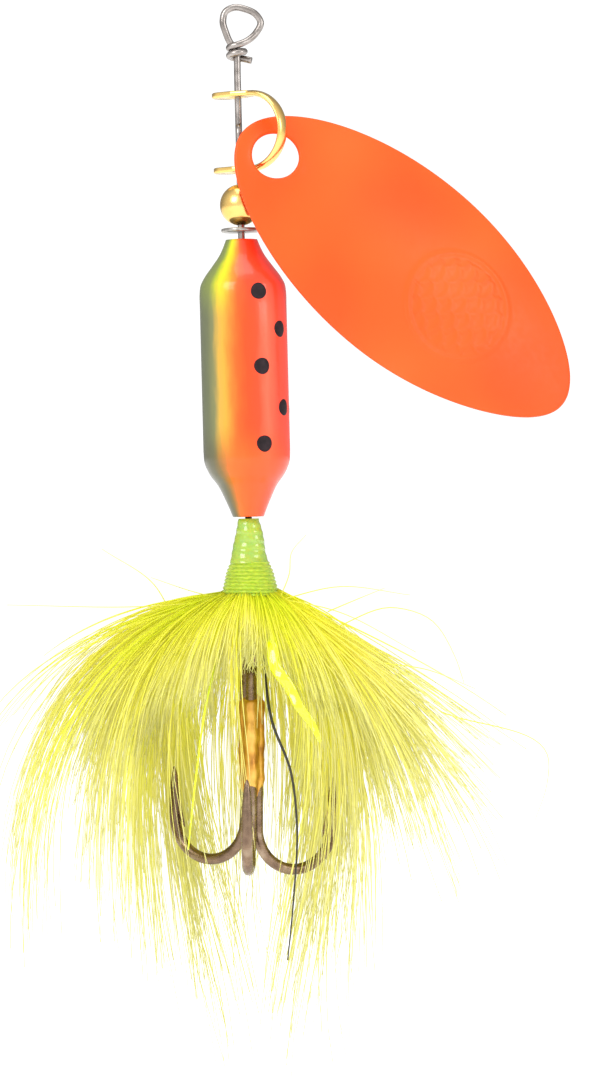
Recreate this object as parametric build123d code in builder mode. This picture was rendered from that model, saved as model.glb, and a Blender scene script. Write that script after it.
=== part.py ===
"""Inline spinner: wire shaft, clevis and blade, bead, washer, weighted body, tied tail and treble hook.

Millimetres. z = 0 is the line tie, +Z is up and the lure hangs down from it. The shaft is the Z axis.
"""

import math
import os

from build123d import *

os.makedirs("parts", exist_ok=True)

# wire shaft
WIRE_D = 0.55
WIRE_R = WIRE_D / 2
WRAP_R = 0.61
WRAP_PITCH = 0.62
BORE_R = WIRE_R + 0.09
SHAFT_TOP_Z = -3.3
SHAFT_LOW_Z = -43.6
TIE_LOOP_Z = -49.75

# clevis
CLEVIS_TURN = 35.0
CLEVIS_MID_Z = -8.57
CLEVIS_ARC_R = 3.03
CLEVIS_ARC_OFFSET = 1.25
CLEVIS_SHEET = 0.42
CLEVIS_BAND = 1.15
CLEVIS_EAR_TAIL = 2.35
CLEVIS_EAR_HALF = 1.05

# blade
BLADE_SHEET = 0.4
BLADE_LENGTH = 33.7
BLADE_HALF_WIDTH = 8.0
BLADE_HEAD_TO_HOLE = 3.3
BLADE_HOLE_R = 1.9
BLADE_LONG_R = 75.0
BLADE_CROSS_R = 20.0
BLADE_HOLE_AT = (2.907, -1.546, -10.72)
BLADE_FACE = (0.176, -1.0, 0.268)
BLADE_POINTS = (0.790, -0.0252, -0.613)

# bead, washer and body
BEAD_R = 1.67
BEAD_Z = -14.45
WASHER_R = 1.62
WASHER_SHEET = 0.3
WASHER_Z = -16.5
BODY_TOP_Z = -17.26

# tied head
THREAD_TOP_Z = -39.75
VARNISH_LOW_Z = -43.3
THREAD_LOW_Z = -45.9
THREAD_BORE_R = 0.96

# treble hook
HOOK_TURN = 28.0
HOOK_LEAN = 1.5
HOOK_WIRE_R = 0.45
SHANK_OFFSET = 0.56
BEND_R = 3.42
BEND_Z = -14.2
POINT_LENGTH = 3.4
LEG_TOP = 7.4
SHANK_TOP_Z = -1.75
EYE_R = 1.3
EYE_WIRE_R = 0.42
EYE_DROP = 0.43


def unit(v):
    """The vector v at length one."""
    length = math.sqrt(sum(c * c for c in v))
    return tuple(c / length for c in v)


def cross(a, b):
    """The cross product of two vectors."""
    return (a[1] * b[2] - a[2] * b[1], a[2] * b[0] - a[0] * b[2], a[0] * b[1] - a[1] * b[0])


def step(a, b, k):
    """The point a plus k times the vector b."""
    return tuple(p + k * q for p, q in zip(a, b))


def coil(start_deg, turns, z_start, z_end, turn):
    """Points of a helix of wire wound on the shaft, one point for each eighth of a turn."""
    count = int(round(abs(turns) * 8))
    points = []
    for i in range(count + 1):
        a = math.radians(start_deg + turn * 360.0 * turns * i / count)
        z = z_start + (z_end - z_start) * i / count
        points.append((WRAP_R * math.cos(a), WRAP_R * math.sin(a), z))
    return points


def turned(x, y, z, degrees):
    """A point turned about the Z axis."""
    a = math.radians(degrees)
    return (x * math.cos(a) - y * math.sin(a), x * math.sin(a) + y * math.cos(a), z)


# The line tie: one round loop bent from the shaft and wound back on it, with a cut end.
LINE_LOOP = [
    (0.0, 0.0, SHAFT_TOP_Z),
    (0.0, 0.0, -2.3),
    (0.0, 0.0, -1.65),
    (-0.42, 0.0, -1.12),
    (-0.92, 0.0, -0.5),
    (-1.05, 0.0, 0.25),
    (-0.78, 0.0, 0.98),
    (-0.05, 0.0, 1.43),
    (0.85, 0.0, 1.42),
    (1.62, 0.0, 0.9),
    (1.95, 0.0, 0.1),
    (1.55, -0.08, -0.72),
    (0.85, -0.4, -1.28),
]
LINE_COIL = coil(-90.0, 1.5, -1.62, -1.62 - 1.5 * WRAP_PITCH, -1.0)
LINE_END = [(0.55, 0.6, -2.62), (1.15, 0.5, -2.78)]

# The lower loop that carries the hook: down one side, round, and back up on to the shaft.
LOW_SIDE = [
    (0.0, 0.0, SHAFT_LOW_Z),
    (0.0, 0.0, -45.2),
    (0.0, 0.0, -46.2),
    (-0.45, 0.0, -46.95),
    (-0.98, 0.0, -47.85),
    (-1.12, 0.0, -48.7),
    (-0.8, 0.0, -49.45),
    (0.0, 0.0, TIE_LOOP_Z),
    (0.8, 0.0, -49.45),
    (1.12, 0.0, -48.7),
    (1.02, 0.0, -47.85),
    (0.75, -0.18, -46.95),
    (0.4, -0.5, -46.35),
]
LOW_LOOP = [turned(*p, HOOK_TURN) for p in LOW_SIDE]
LOW_COIL = coil(-90.0 + HOOK_TURN, 1.75, -45.95, -45.95 + 1.75 * WRAP_PITCH, -1.0)

with BuildPart() as wire_shaft:
    with BuildSketch(Plane.XY.offset(SHAFT_LOW_Z)) as shaft_round:
        Circle(WIRE_R)
    extrude(shaft_round.sketch, amount=SHAFT_TOP_Z - SHAFT_LOW_Z)
    with BuildLine() as line_path:
        Spline(*LINE_LOOP, *LINE_COIL, *LINE_END, tangents=[(0, 0, 1), (1, -0.1, -0.25)])
    with BuildSketch(Plane(origin=LINE_LOOP[0], z_dir=(0, 0, 1))) as line_round:
        Circle(WIRE_R)
    sweep(line_round.sketch, path=line_path.line)
    with BuildLine() as low_path:
        Spline(*LOW_LOOP, *LOW_COIL, tangents=[(0, 0, -1), unit(turned(0, -1, 0.16, HOOK_TURN))])
    with BuildSketch(Plane(origin=LOW_LOOP[0], z_dir=(0, 0, -1))) as low_round:
        Circle(WIRE_R)
    sweep(low_round.sketch, path=low_path.line)
wire_shaft.part.label = "wire_shaft"
export_step(wire_shaft.part, "parts/wire_shaft.step")

# Clevis: a strip folded to a C, its two ears on the shaft.
CLEVIS_X = (math.cos(math.radians(CLEVIS_TURN)), -math.sin(math.radians(CLEVIS_TURN)), 0.0)
CLEVIS_OUT = (CLEVIS_X[1], -CLEVIS_X[0], 0.0)
CLEVIS_PLANE = Plane(origin=(0, 0, CLEVIS_MID_Z), x_dir=CLEVIS_X, z_dir=CLEVIS_OUT)
EAR_END = CLEVIS_EAR_TAIL - CLEVIS_EAR_HALF

with BuildPart() as clevis:
    with BuildSketch(CLEVIS_PLANE):
        with Locations((CLEVIS_ARC_OFFSET, 0)):
            Circle(CLEVIS_ARC_R + CLEVIS_SHEET / 2)
            Circle(CLEVIS_ARC_R - CLEVIS_SHEET / 2, mode=Mode.SUBTRACT)
        with Locations((CLEVIS_ARC_OFFSET - 5.0, 0)):
            Rectangle(10.0, 10.0, mode=Mode.SUBTRACT)
    extrude(amount=CLEVIS_BAND / 2, both=True)
    for side in (1, -1):
        low = CLEVIS_MID_Z + side * CLEVIS_ARC_R - CLEVIS_SHEET / 2
        with BuildSketch(Plane(origin=(0, 0, low), x_dir=CLEVIS_X, z_dir=(0, 0, 1))):
            with Locations((-EAR_END, 0)):
                Circle(CLEVIS_EAR_HALF)
            Polygon(
                (-EAR_END, -CLEVIS_EAR_HALF),
                (0.0, -CLEVIS_EAR_HALF),
                (CLEVIS_ARC_OFFSET, -CLEVIS_BAND / 2),
                (CLEVIS_ARC_OFFSET, CLEVIS_BAND / 2),
                (0.0, CLEVIS_EAR_HALF),
                (-EAR_END, CLEVIS_EAR_HALF),
                align=None,
            )
            Circle(BORE_R, mode=Mode.SUBTRACT)
        extrude(amount=CLEVIS_SHEET)
clevis.part.label = "clevis"
export_step(clevis.part, "parts/clevis.step")

# Blade: an oval cut from a sheet that is domed along its length and across its width.
FACE = unit(BLADE_FACE)
ALONG = unit(BLADE_POINTS)
ACROSS = unit(cross(FACE, ALONG))
DOME_CENTRE = step(BLADE_HOLE_AT, FACE, -BLADE_LONG_R)
HOLE_PLANE = Plane(origin=BLADE_HOLE_AT, x_dir=ALONG, z_dir=FACE)
START_DEG = -math.degrees(5.0 / BLADE_LONG_R)
SPAN_DEG = math.degrees(42.0 / BLADE_LONG_R)


def blade_outline(count):
    """The oval in the plane of the hole: fullest at the middle, with a slightly finer tip than head."""
    half = BLADE_LENGTH / 2
    centre = half - BLADE_HEAD_TO_HOLE
    right = []
    for i in range(count + 1):
        s = -math.cos(math.pi * i / count)
        finer = 0.17 if s > 0 else 0.10
        w = BLADE_HALF_WIDTH * math.sqrt(max(0.0, 1 - s * s)) * (1 - finer * s * s)
        right.append((centre + half * s, w))
    left = [(x, -w) for x, w in reversed(right[1:-1])]
    return right + left


def dome_section(side, angle_deg):
    """A point of the curved cross section, on the outer or inner face of the sheet."""
    r = BLADE_CROSS_R + side * BLADE_SHEET / 2
    a = math.radians(angle_deg)
    return (r * math.sin(a), r * math.cos(a) - BLADE_CROSS_R)


SECTION_PLANE = Plane(origin=BLADE_HOLE_AT, x_dir=ACROSS, z_dir=cross(ACROSS, FACE))
DOME_AXIS = Axis(origin=DOME_CENTRE, direction=ACROSS)

with BuildPart() as blade:
    with BuildSketch(SECTION_PLANE) as dome_sketch:
        with BuildLine():
            ThreePointArc(dome_section(1, -28), dome_section(1, 0), dome_section(1, 28))
            Line(dome_section(1, 28), dome_section(-1, 28))
            ThreePointArc(dome_section(-1, 28), dome_section(-1, 0), dome_section(-1, -28))
            Line(dome_section(-1, -28), dome_section(1, -28))
        make_face()
    revolve(dome_sketch.sketch.rotate(DOME_AXIS, START_DEG), axis=DOME_AXIS, revolution_arc=SPAN_DEG)
    with BuildSketch(HOLE_PLANE) as oval_sketch:
        with BuildLine():
            Spline(*blade_outline(12), periodic=True)
        make_face()
        Circle(BLADE_HOLE_R, mode=Mode.SUBTRACT)
    extrude(oval_sketch.sketch, amount=14.0, both=True, mode=Mode.INTERSECT)
blade.part.label = "blade"
export_step(blade.part, "parts/blade.step")

with BuildPart() as bead:
    with Locations((0, 0, BEAD_Z)):
        Sphere(BEAD_R)
        Cylinder(BORE_R, 4 * BEAD_R, mode=Mode.SUBTRACT)
bead.part.label = "bead"
export_step(bead.part, "parts/bead.step")

with BuildPart() as washer:
    with BuildSketch(Plane.XY.offset(WASHER_Z - WASHER_SHEET / 2)):
        Circle(WASHER_R)
        Circle(BORE_R, mode=Mode.SUBTRACT)
    extrude(amount=WASHER_SHEET)
washer.part.label = "washer"
export_step(washer.part, "parts/washer.step")

# Body: turned, with a conical shoulder, a straight barrel and a hollow-ground taper at the foot.
with BuildPart() as body:
    with BuildSketch(Plane.XZ):
        with BuildLine():
            Line((BORE_R, BODY_TOP_Z), (1.25, BODY_TOP_Z))
            Spline(
                (1.25, BODY_TOP_Z),
                (1.62, -17.75),
                (2.45, -18.95),
                (3.1, -20.3),
                (3.42, -21.4),
                (3.5, -22.6),
            )
            Line((3.5, -22.6), (3.5, -34.3))
            Spline(
                (3.5, -34.3),
                (3.42, -35.2),
                (3.05, -36.1),
                (2.35, -37.1),
                (1.82, -38.2),
                (1.4, -39.2),
                (1.25, -39.6),
            )
            Line((1.25, -39.6), (BORE_R, -39.6))
            Line((BORE_R, -39.6), (BORE_R, BODY_TOP_Z))
        make_face()
    revolve(axis=Axis.Z)
body.part.label = "body"
export_step(body.part, "parts/body.step")

# The tying thread and the varnish over its upper turns, both wound tight on the wire.
with BuildPart() as head_varnish:
    with BuildSketch(Plane.XZ):
        Polygon(
            (WIRE_R, THREAD_TOP_Z),
            (0.8, THREAD_TOP_Z),
            (1.08, -40.7),
            (1.22, -41.6),
            (1.32, -42.5),
            (1.55, VARNISH_LOW_Z),
            (WIRE_R, VARNISH_LOW_Z),
            align=None,
        )
    revolve(axis=Axis.Z)
head_varnish.part.label = "head_varnish"
export_step(head_varnish.part, "parts/head_varnish.step")

with BuildPart() as tying_thread:
    with BuildSketch(Plane.XZ):
        Polygon(
            (WIRE_R, VARNISH_LOW_Z),
            (1.55, VARNISH_LOW_Z),
            (1.9, -44.1),
            (2.05, -44.8),
            (2.2, -45.4),
            (2.15, THREAD_LOW_Z),
            (THREAD_BORE_R, THREAD_LOW_Z),
            (THREAD_BORE_R, -44.3),
            (WIRE_R, -43.9),
            align=None,
        )
    revolve(axis=Axis.Z)
tying_thread.part.label = "tying_thread"
export_step(tying_thread.part, "parts/tying_thread.step")

# Treble hook: a double hook bent from one wire, and a single hook brazed to its shank.
LEAN = math.radians(HOOK_LEAN)
HOOK_X = turned(1, 0, 0, HOOK_TURN)
HOOK_UP = (math.sin(LEAN), 0.0, math.cos(LEAN))
HOOK_FLAT = unit(step(HOOK_X, HOOK_UP, -HOOK_X[0] * HOOK_UP[0]))
HOOK_PLANE = Plane(origin=(0, 0, TIE_LOOP_Z), x_dir=HOOK_FLAT, z_dir=HOOK_UP)


def hook_point(azimuth, out, side, z):
    """A point beside the shank: out along the hook's own direction, side across it."""
    return turned(out, side, z, azimuth)


def hook_arm(azimuth, shank_top, drop):
    """One hook: straight shank, round bend, straight leg, two-stage tapered point and a barb inside."""
    far = SHANK_OFFSET + 2 * BEND_R
    bend = BEND_Z - drop
    leg = bend + LEG_TOP - POINT_LENGTH
    with BuildLine(HOOK_PLANE) as arm_path:
        Line(hook_point(azimuth, SHANK_OFFSET, 0, shank_top), hook_point(azimuth, SHANK_OFFSET, 0, bend))
        ThreePointArc(
            hook_point(azimuth, SHANK_OFFSET, 0, bend),
            hook_point(azimuth, SHANK_OFFSET + BEND_R, 0, bend - BEND_R),
            hook_point(azimuth, far, 0, bend),
        )
        Line(hook_point(azimuth, far, 0, bend), hook_point(azimuth, far, 0, leg))
    with BuildSketch(Plane(origin=arm_path.line @ 0, z_dir=arm_path.line % 0)) as wire:
        Circle(HOOK_WIRE_R)
    sweep(wire.sketch, path=arm_path.line)
    half = POINT_LENGTH / 2
    x, y, z = hook_point(azimuth, far, 0, leg)
    with Locations(HOOK_PLANE.offset(0)):
        with Locations((x, y, z + half / 2)):
            Cone(HOOK_WIRE_R, HOOK_WIRE_R * 0.62, half)
        with Locations((x, y, z + 1.5 * half)):
            Cone(HOOK_WIRE_R * 0.62, 0.04, half)
    inward = HOOK_PLANE.from_local_coords(Vector(*hook_point(azimuth, -1, 0, 0))) - HOOK_PLANE.origin
    end = HOOK_PLANE.from_local_coords(Vector(x, y, z))
    with BuildSketch(Plane(origin=end, x_dir=inward, z_dir=inward.cross(HOOK_PLANE.z_dir))) as barb:
        Polygon((0.05, 1.2), (0.42, 0.1), (0.93, -1.55), (0.3, -0.6), (0.05, -0.6), align=None)
    extrude(barb.sketch, amount=0.17, both=True)


with BuildPart() as double_hook:
    hook_arm(120, SHANK_TOP_Z, 0.0)
    hook_arm(-120, SHANK_TOP_Z, 0.4)
    with Locations(HOOK_PLANE):
        with Locations(Location((-SHANK_OFFSET / 2, 0, -EYE_DROP), (0, 90, 0))):
            Torus(EYE_R, EYE_WIRE_R)
double_hook.part.label = "double_hook"
export_step(double_hook.part, "parts/double_hook.step")

with BuildPart() as single_hook:
    hook_arm(0, -4.7, 0.8)
single_hook.part.label = "single_hook"
export_step(single_hook.part, "parts/single_hook.step")

with BuildPart() as hook_braze:
    with BuildSketch(HOOK_PLANE.offset(-12.6)):
        Circle(0.97)
        for azimuth in (0, 120, -120):
            with Locations(hook_point(azimuth, SHANK_OFFSET, 0.0, 0.0)[:2]):
                Circle(HOOK_WIRE_R + 0.01, mode=Mode.SUBTRACT)
    extrude(amount=7.9)
hook_braze.part.label = "hook_braze"
export_step(hook_braze.part, "parts/hook_braze.step")


# Tail: each plume starts under the thread and hangs in its own sector, clear of the hook.
def plume(azimuth, outs, heights, halves):
    """A soft tapered plume through stations given by distance out, height and half width."""
    count = len(outs)
    stations = []
    for i in range(count):
        low = max(0, i - 1)
        high = min(count - 1, i + 1)
        run = (outs[high] - outs[low], 0.0, heights[high] - heights[low])
        direction = unit(turned(*run, azimuth))
        centre = turned(outs[i], 0.0, heights[i], azimuth)
        with BuildSketch(Plane(origin=centre, x_dir=turned(0, 1, 0, azimuth), z_dir=direction)) as oval:
            Ellipse(halves[i], min(halves[i], 0.55))
        stations.append(oval.sketch)
    loft(stations)


INNER = ((1.75, 3.3, 3.7, 3.3, 2.6), (-46.0, -51.5, -60.0, -70.0, -84.0), (0.2, 0.85, 0.95, 0.85, 0.25))
SIDE = ((1.75, 4.6, 7.6, 9.4, 10.0), (-46.0, -51.0, -58.0, -67.0, -77.0), (0.2, 0.95, 1.25, 1.1, 0.25))
OUTER = ((1.75, 5.6, 10.4, 13.2, 14.6), (-46.0, -48.8, -54.0, -61.0, -69.0), (0.2, 0.9, 1.2, 1.0, 0.25))
PLUMES = (
    ("hackle_front_left", -124, SIDE),
    ("hackle_front", -94, OUTER),
    ("hackle_front_right", -64, SIDE),
    ("hackle_inner_right", -34, INNER),
    ("hackle_right", -2, SIDE),
    ("hackle_right_outer", 26, OUTER),
    ("hackle_back_right", 56, SIDE),
    ("hackle_inner_back", 86, INNER),
    ("hackle_back_left", 116, SIDE),
    ("hackle_left_outer", 146, OUTER),
    ("hackle_left", 176, SIDE),
    ("hackle_inner_left", -154, INNER),
)

for name, azimuth, shape in PLUMES:
    with BuildPart() as hackle:
        plume(azimuth, *shape)
    hackle.part.label = name
    export_step(hackle.part, f"parts/{name}.step")


def strand(points, half_width, half_thickness, facing):
    """A flat strip swept along a curve through the points."""
    with BuildLine() as strip_path:
        Spline(*points)
    start = strip_path.line % 0
    across = unit(cross((start.X, start.Y, start.Z), facing))
    with BuildSketch(Plane(origin=strip_path.line @ 0, x_dir=across, z_dir=start)) as end:
        Rectangle(2 * half_width, 2 * half_thickness)
    sweep(end.sketch, path=strip_path.line)


TINSEL_RIGHT = (
    (1.29, -1.53, -46.1),
    (1.74, -2.43, -49.5),
    (2.46, -3.7, -52.8),
    (5.3, -3.5, -57.4),
    (7.2, -3.6, -62.0),
)
TINSEL_LEFT = (
    (-1.51, -1.32, -46.1),
    (-2.24, -2.2, -49.5),
    (-3.3, -3.35, -54.0),
    (-4.6, -3.9, -60.0),
    (-5.4, -4.0, -66.0),
)
QUILL = (
    (0.38, -1.98, -46.1),
    (0.95, -3.1, -51.0),
    (1.5, -4.2, -56.5),
    (2.1, -4.5, -62.0),
    (2.5, -4.5, -68.0),
    (1.66, -4.1, -75.0),
)

with BuildPart() as tinsel_right:
    strand(TINSEL_RIGHT, 0.28, 0.06, (0, -1, 0))
tinsel_right.part.label = "tinsel_right"
export_step(tinsel_right.part, "parts/tinsel_right.step")

with BuildPart() as tinsel_left:
    strand(TINSEL_LEFT, 0.28, 0.06, (0, -1, 0))
tinsel_left.part.label = "tinsel_left"
export_step(tinsel_left.part, "parts/tinsel_left.step")

with BuildPart() as dark_quill:
    strand(QUILL, 0.16, 0.1, (0, -1, 0))
dark_quill.part.label = "dark_quill"
export_step(dark_quill.part, "parts/dark_quill.step")
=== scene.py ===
"""Looks for the inline spinner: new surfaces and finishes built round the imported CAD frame.

One operator builds each group of pieces. Lengths inside the builders are in mm, and Z runs up the shaft.
"""

import math

import bpy
import numpy as np
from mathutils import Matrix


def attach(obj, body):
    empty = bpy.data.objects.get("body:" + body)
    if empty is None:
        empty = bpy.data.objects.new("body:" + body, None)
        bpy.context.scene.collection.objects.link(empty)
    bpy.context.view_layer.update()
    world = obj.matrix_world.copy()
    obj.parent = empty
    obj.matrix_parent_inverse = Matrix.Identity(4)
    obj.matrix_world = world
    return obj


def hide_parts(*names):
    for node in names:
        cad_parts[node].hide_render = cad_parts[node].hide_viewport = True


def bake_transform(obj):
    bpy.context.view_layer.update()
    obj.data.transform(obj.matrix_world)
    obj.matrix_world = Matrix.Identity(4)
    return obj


bl_info = {
    "name": "Inline spinner builder",
    "version": (1, 0, 0),
    "blender": (4, 2, 0),
    "location": "View3D > Sidebar > Spinner",
    "description": "Builds the pieces, finishes and studio of an inline spinner",
    "category": "Object",
}

MM = 0.001
HOLE = np.array((2.907, -1.546, -10.72))  # centre of the blade's hole
FACE = np.array((0.1675, -0.9519, 0.2551))  # the blade's outward direction
ALONG = np.array((0.790, -0.0252, -0.613))  # from the blade's hole to its tip
PIVOT = np.array((0.0, 0.0, -49.75))  # where the treble hangs in the shaft's lower loop
UP = np.array((0.0, 0.0, 1.0))
MIDDLE = np.array((4.0, 0.0, -41.0))  # of the whole lure
WIRE = 0.275  # radius of the shaft wire
BORE = 0.365  # radius of the bores that the shaft wire runs through
CORE = 0.31  # inner radius of the thread and varnish

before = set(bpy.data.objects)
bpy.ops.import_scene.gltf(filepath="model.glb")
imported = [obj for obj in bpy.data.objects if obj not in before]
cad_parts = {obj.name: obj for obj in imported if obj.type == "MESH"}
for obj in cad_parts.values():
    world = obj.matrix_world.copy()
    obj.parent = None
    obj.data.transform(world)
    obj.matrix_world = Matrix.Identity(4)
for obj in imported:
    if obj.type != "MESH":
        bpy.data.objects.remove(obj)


# Arrays and meshes.
def unit(v):
    """Each vector divided by its own length."""
    return v / np.maximum(np.linalg.norm(v, axis=-1, keepdims=True), 1e-12)


def circle(count):
    """Even angles round a full turn."""
    return np.linspace(0, 2 * math.pi, count, endpoint=False)


def curve(points, count):
    """A smooth line through the points, read at even steps of the distance along them.

    It is made of cubic pieces whose slope at a point is that of the line between its neighbours.
    """
    p = np.asarray(points, float)
    at = np.concatenate(([0.0], np.cumsum(np.linalg.norm(np.diff(p, axis=0), axis=1))))
    slope = np.gradient(p, at, axis=0)
    s = np.linspace(0, at[-1], count)
    i = np.clip(np.searchsorted(at, s, side="right") - 1, 0, len(p) - 2)
    span = (at[i + 1] - at[i])[:, None]
    t = (s - at[i])[:, None] / span
    return (
        (1 + 2 * t) * (1 - t) ** 2 * p[i]
        + t * (1 - t) ** 2 * span * slope[i]
        + t * t * (3 - 2 * t) * p[i + 1]
        + t * t * (t - 1) * span * slope[i + 1]
    )


def grid_faces(rows, columns, wrap_rows=False):
    """Quads between the rows of a grid whose columns close on themselves, as its rows do if asked."""
    i = np.arange(rows if wrap_rows else rows - 1)[:, None]
    j = np.arange(columns)[None, :]
    a, b = i * columns, (i + 1) % rows * columns
    k = (j + 1) % columns
    return np.stack((a + j, a + k, b + k, b + j), axis=-1).reshape(-1, 4)


def fans(ring, centre, flip):
    """Triangles from a ring of vertices to one at its centre."""
    turned = np.roll(ring, -1)
    sides = (turned, ring) if flip else (ring, turned)
    return np.stack((*sides, np.full(len(ring), centre)), axis=-1)


def lids(count, last, centre):
    """Triangles that close the first ring and the ring that starts at last, round two centres in a row."""
    first, second = np.arange(count), np.arange(last, last + count)
    return np.concatenate((fans(first, centre, True), fans(second, centre + 1, False)))


def outward(points, quads, triangles):
    """The faces, turned over if the closed surface holds a negative volume."""
    corners = points[quads]
    volume = np.einsum("ij,ij->", corners[:, 0], np.cross(corners[:, 1], corners[:, 2]))
    volume += np.einsum("ij,ij->", corners[:, 0], np.cross(corners[:, 2], corners[:, 3]))
    if len(triangles):
        corners = points[triangles]
        volume += np.einsum("ij,ij->", corners[:, 0], np.cross(corners[:, 1], corners[:, 2]))
    return (quads, triangles) if volume > 0 else (quads[:, ::-1], triangles[:, ::-1])


def solid(name, shells, material, values=None):
    """One mesh object in metres from closed shells, each (points in mm, quads, triangles).

    Its faces are smooth and turned outward, and named values can lie on its points.
    """
    points, quads, triangles, offset = [], [], [], 0
    for p, q, t in shells:
        p = p.reshape(-1, 3)
        q, t = outward(p, q, t)
        points.append(p)
        quads.append(q + offset)
        triangles.append(t + offset)
        offset += len(p)
    points, quads, triangles = map(np.concatenate, (points, quads, triangles))
    sizes = np.concatenate((np.full(len(quads), 4), np.full(len(triangles), 3)))
    corners = np.concatenate((quads.ravel(), triangles.ravel())).astype(np.int32)
    mesh = bpy.data.meshes.new(name)
    mesh.vertices.add(len(points))
    mesh.vertices.foreach_set("co", (points * MM).astype(np.float32).ravel())
    mesh.loops.add(len(corners))
    mesh.loops.foreach_set("vertex_index", corners)
    mesh.polygons.add(len(sizes))
    starts = np.concatenate(([0], np.cumsum(sizes)[:-1])).astype(np.int32)
    mesh.polygons.foreach_set("loop_start", starts)
    mesh.polygons.foreach_set("use_smooth", np.ones(len(sizes), bool))
    for key, value in (values or {}).items():
        layer = mesh.attributes.new(key, "FLOAT", "POINT")
        layer.data.foreach_set("value", value.astype(np.float32).ravel())
    mesh.update(calc_edges=True)
    mesh.validate()
    mesh.materials.append(material)
    piece = bpy.data.objects.new(name, mesh)
    bpy.context.scene.collection.objects.link(piece)
    return piece


NO_TRIANGLES = np.zeros((0, 3), int)


def lathe(profile, count, radius=None):
    """A closed profile of (radius, height) turned round the shaft.

    radius(r, z, angle) gives the radius where it changes with the angle.
    """
    r, z = np.asarray(profile, float).T[:, :, None]
    angle = circle(count)[None, :]
    r = radius(r, z, angle) if radius else r + 0 * angle
    points = np.stack((r * np.cos(angle), r * np.sin(angle), z + 0 * angle), axis=-1)
    return points, grid_faces(len(profile), count, True), NO_TRIANGLES


def carried(along, side):
    """A vector across each station of a path. It starts square to side and only turns as the path turns."""
    across = [unit(np.cross(along[0], side))]
    for direction in along[1:]:
        last = across[-1]
        across.append(unit(last - direction * (last @ direction)))
    return np.array(across)


def tube(path, radii, side, count=16, flat=1.0):
    """A section carried along a path and closed at each end.

    Its radius lies square to side, and flat times that along side.
    """
    path = np.asarray(path, float)
    along = unit(np.gradient(path, axis=0))
    across = carried(along, np.asarray(side, float))
    other = np.cross(along, across)
    angle = circle(count)[None, :, None]
    r = np.broadcast_to(np.asarray(radii, float), len(path))[:, None, None]
    rings = path[:, None] + r * (np.cos(angle) * across[:, None] + flat * np.sin(angle) * other[:, None])
    points = np.concatenate((rings.reshape(-1, 3), path[:1], path[-1:]))
    last = (len(path) - 1) * count
    triangles = lids(count, last, len(points) - 2)
    return points, grid_faces(len(path), count), triangles


# Finishes.
def colour(code):
    """Linear RGBA from a hex sRGB code."""
    v = np.array([int(code[i : i + 2], 16) / 255 for i in (1, 3, 5)])
    v = np.where(v <= 0.04045, v / 12.92, ((v + 0.055) / 1.055) ** 2.4)
    return (*v.tolist(), 1.0)


def add(tree, kind, inputs=None, **settings):
    """A new node with its settings made. An input is linked if it is given a socket, and else set."""
    node = tree.nodes.new(kind)
    for key, value in settings.items():
        setattr(node, key, value)
    for key, value in (inputs or {}).items():
        if isinstance(value, bpy.types.NodeSocket):
            tree.links.new(value, node.inputs[key])
        else:
            node.inputs[key].default_value = value
    return node


def ramp(tree, factor, stops):
    """The colour of a ramp of (position, hex code or RGBA) stops at the factor."""
    node = add(tree, "ShaderNodeValToRGB", {0: factor})
    elements = node.color_ramp.elements
    while len(elements) < len(stops):
        elements.new(0.5)
    for element, (position, code) in zip(elements, stops):
        element.position = position
        element.color = colour(code) if isinstance(code, str) else code
    return node.outputs[0]


def number(tree, operation, *inputs):
    """A Math node's result."""
    return add(tree, "ShaderNodeMath", dict(enumerate(inputs)), operation=operation).outputs[0]


def mixed(tree, factor, a, b):
    """Two colours mixed by the factor."""
    return add(tree, "ShaderNodeMix", {0: factor, 6: a, 7: b}, data_type="RGBA").outputs[2]


def shares(tree, value, low, high, start=0.0, end=1.0):
    """The value rescaled from low..high to start..end, smoothly and without passing either end."""
    sockets = {"Value": value, "From Min": low, "From Max": high, "To Min": start, "To Max": end}
    return add(tree, "ShaderNodeMapRange", sockets, interpolation_type="SMOOTHSTEP").outputs[0]


def place(tree, scale=(1, 1, 1)):
    """Object coordinates in mm, times a scale."""
    sockets = {0: add(tree, "ShaderNodeTexCoord").outputs["Object"], 1: [s / MM for s in scale]}
    return add(tree, "ShaderNodeVectorMath", sockets, operation="MULTIPLY").outputs[0]


def noise(tree, point, scale=1.0, detail=2.0):
    """Soft noise from 0 to 1 with this many lumps to the mm."""
    return add(tree, "ShaderNodeTexNoise", {"Vector": point, "Scale": scale, "Detail": detail}).outputs[0]


def patchy(tree, scale, *stops, stretch=(1, 1, 1)):
    """A ramp of stops in soft patches, with this many to the mm."""
    return ramp(tree, noise(tree, place(tree, stretch), scale), stops)


def worn(tree, scale, low, high):
    """Roughness that drifts from low to high in patches, with this many to the mm."""
    return shares(tree, noise(tree, place(tree), scale), 0.3, 0.7, low, high)


def bump(tree, height, strength, distance):
    """A normal from a height, distance being its depth in mm."""
    sockets = {"Height": height, "Strength": strength, "Distance": distance * MM}
    return add(tree, "ShaderNodeBump", sockets).outputs[0]


def finish(name, **constants):
    """A new material, its tree and its shader, with constants set on the shader's sockets."""
    material = bpy.data.materials.new(name)
    material.use_nodes = True
    tree = material.node_tree
    shader = tree.nodes["Principled BSDF"]
    for key, value in constants.items():
        shader.inputs[key.replace("_", " ")].default_value = value
    return material, tree, shader


def put(tree, shader, **sockets):
    """Links sockets to the shader's inputs of those names."""
    for key, value in sockets.items():
        tree.links.new(value, shader.inputs[key.replace("_", " ")])


def drawn_steel():
    """Bright stainless wire: warm grey in soft patches, so it reads as wire and not as chrome."""
    material, tree, shader = finish("drawn stainless wire", Metallic=1.0, Roughness=0.3)
    tint = patchy(tree, 1.3, (0.3, "#837c77"), (0.7, "#aca5a0"))
    put(tree, shader, Base_Color=tint, Roughness=worn(tree, 0.8, 0.22, 0.34))
    return material


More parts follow.
